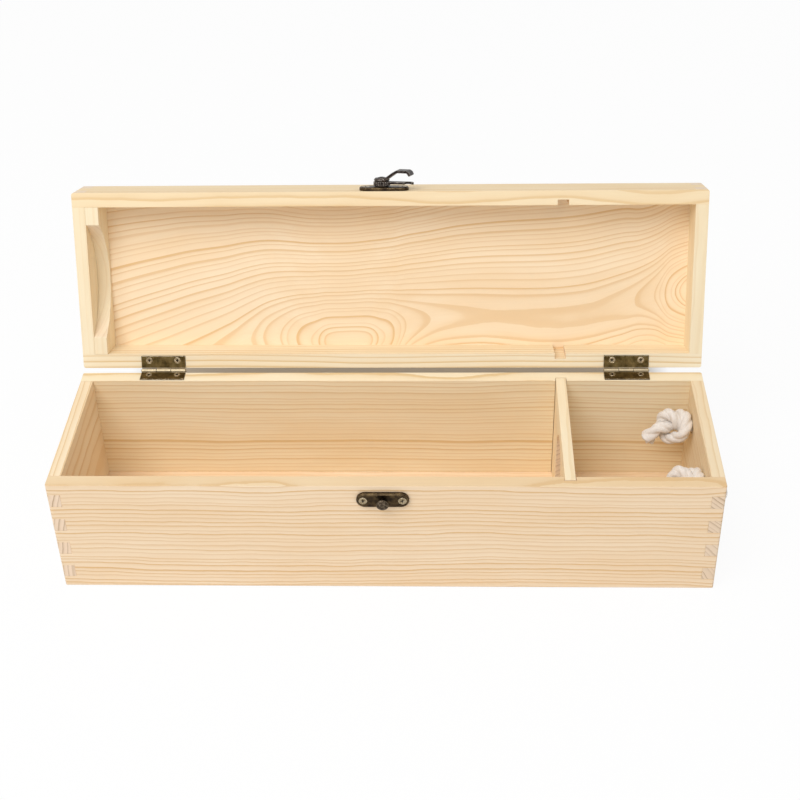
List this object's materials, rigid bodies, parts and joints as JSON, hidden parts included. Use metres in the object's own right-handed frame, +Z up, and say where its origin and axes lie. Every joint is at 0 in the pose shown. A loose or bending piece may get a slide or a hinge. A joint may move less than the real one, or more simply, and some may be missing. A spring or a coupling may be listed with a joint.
{
  "type": "wooden wine box",
  "caption": "Long finger-jointed pine box with a hinged lid, hook latch, lift-out arched divider, scooped cradle strip and rope handle.",
  "frame": {"origin": "middle of the box's underside, on the surface that the box stands on", "axes": "+X along the box to its rope-handle end, +Y to the hinges at the back, +Z up; rest pose is the picture's, with the lid standing open"},
  "size_m": [0.3575, 0.1682, 0.1779],
  "materials": {
    "pine": "planed and sanded pale pine, unvarnished",
    "antique_brass": "darkened antique brass plating with bright worn edges",
    "dark_metal": "dark bronze plating",
    "cotton_rope": "twisted off-white cotton rope"
  },
  "bodies": {
    "box": {"front_wall": "pine", "back_wall": "pine", "left_end_wall": "pine", "right_end_wall": "pine", "floor_panel": "pine", "hinge_left_body_leaf": "antique_brass", "hinge_left_pin": "antique_brass", "hinge_right_body_leaf": "antique_brass", "hinge_right_pin": "antique_brass", "hinge_left_body_screw_1": "antique_brass", "hinge_left_body_screw_2": "antique_brass", "hinge_right_body_screw_1": "antique_brass", "hinge_right_body_screw_2": "antique_brass", "catch_plate": "antique_brass", "catch_stud": "antique_brass", "catch_screw_left": "antique_brass", "catch_screw_right": "antique_brass", "rope_knot_back": "cotton_rope", "rope_knot_front": "cotton_rope", "rope_stub_back": "cotton_rope", "rope_stub_front": "cotton_rope"},
    "lid": {"lid_front_rail": "pine", "lid_back_rail": "pine", "lid_left_rail": "pine", "lid_right_rail": "pine", "lid_panel": "pine", "cradle_strip": "pine", "hinge_left_lid_leaf": "antique_brass", "hinge_right_lid_leaf": "antique_brass", "hinge_left_lid_screw_1": "antique_brass", "hinge_left_lid_screw_2": "antique_brass", "hinge_right_lid_screw_1": "antique_brass", "hinge_right_lid_screw_2": "antique_brass", "latch_plate": "antique_brass", "latch_rivet": "dark_metal", "latch_screw_left": "antique_brass", "latch_screw_right": "antique_brass"},
    "hook": {"latch_hook": "dark_metal"},
    "divider": {"divider_board": "pine"},
    "handle": {"rope_loop": "cotton_rope"}
  },
  "joints": [
    {"name": "lid_hinge", "type": "hinge", "parent": "box", "child": "lid", "pos_m": [0, 0.05145, 0.0715], "axis": [1, 0, 0], "range_deg": [0, 110]},
    {"name": "hook_swing", "type": "hinge", "parent": "lid", "child": "hook", "pos_m": [-0.0034, 0.09179, 0.16478], "axis": [0, -0.342, -0.9397], "range_deg": [0, 63.1]},
    {"name": "divider_lift", "type": "slide", "parent": "box", "child": "divider", "axis": [0, 0, 1], "range_m": [0, 0.02]},
    {"name": "handle_swing", "type": "hinge", "parent": "box", "child": "handle", "pos_m": [0.177, 0, 0.048], "axis": [0, -1, 0], "range_deg": [0, 90]}
  ]
}
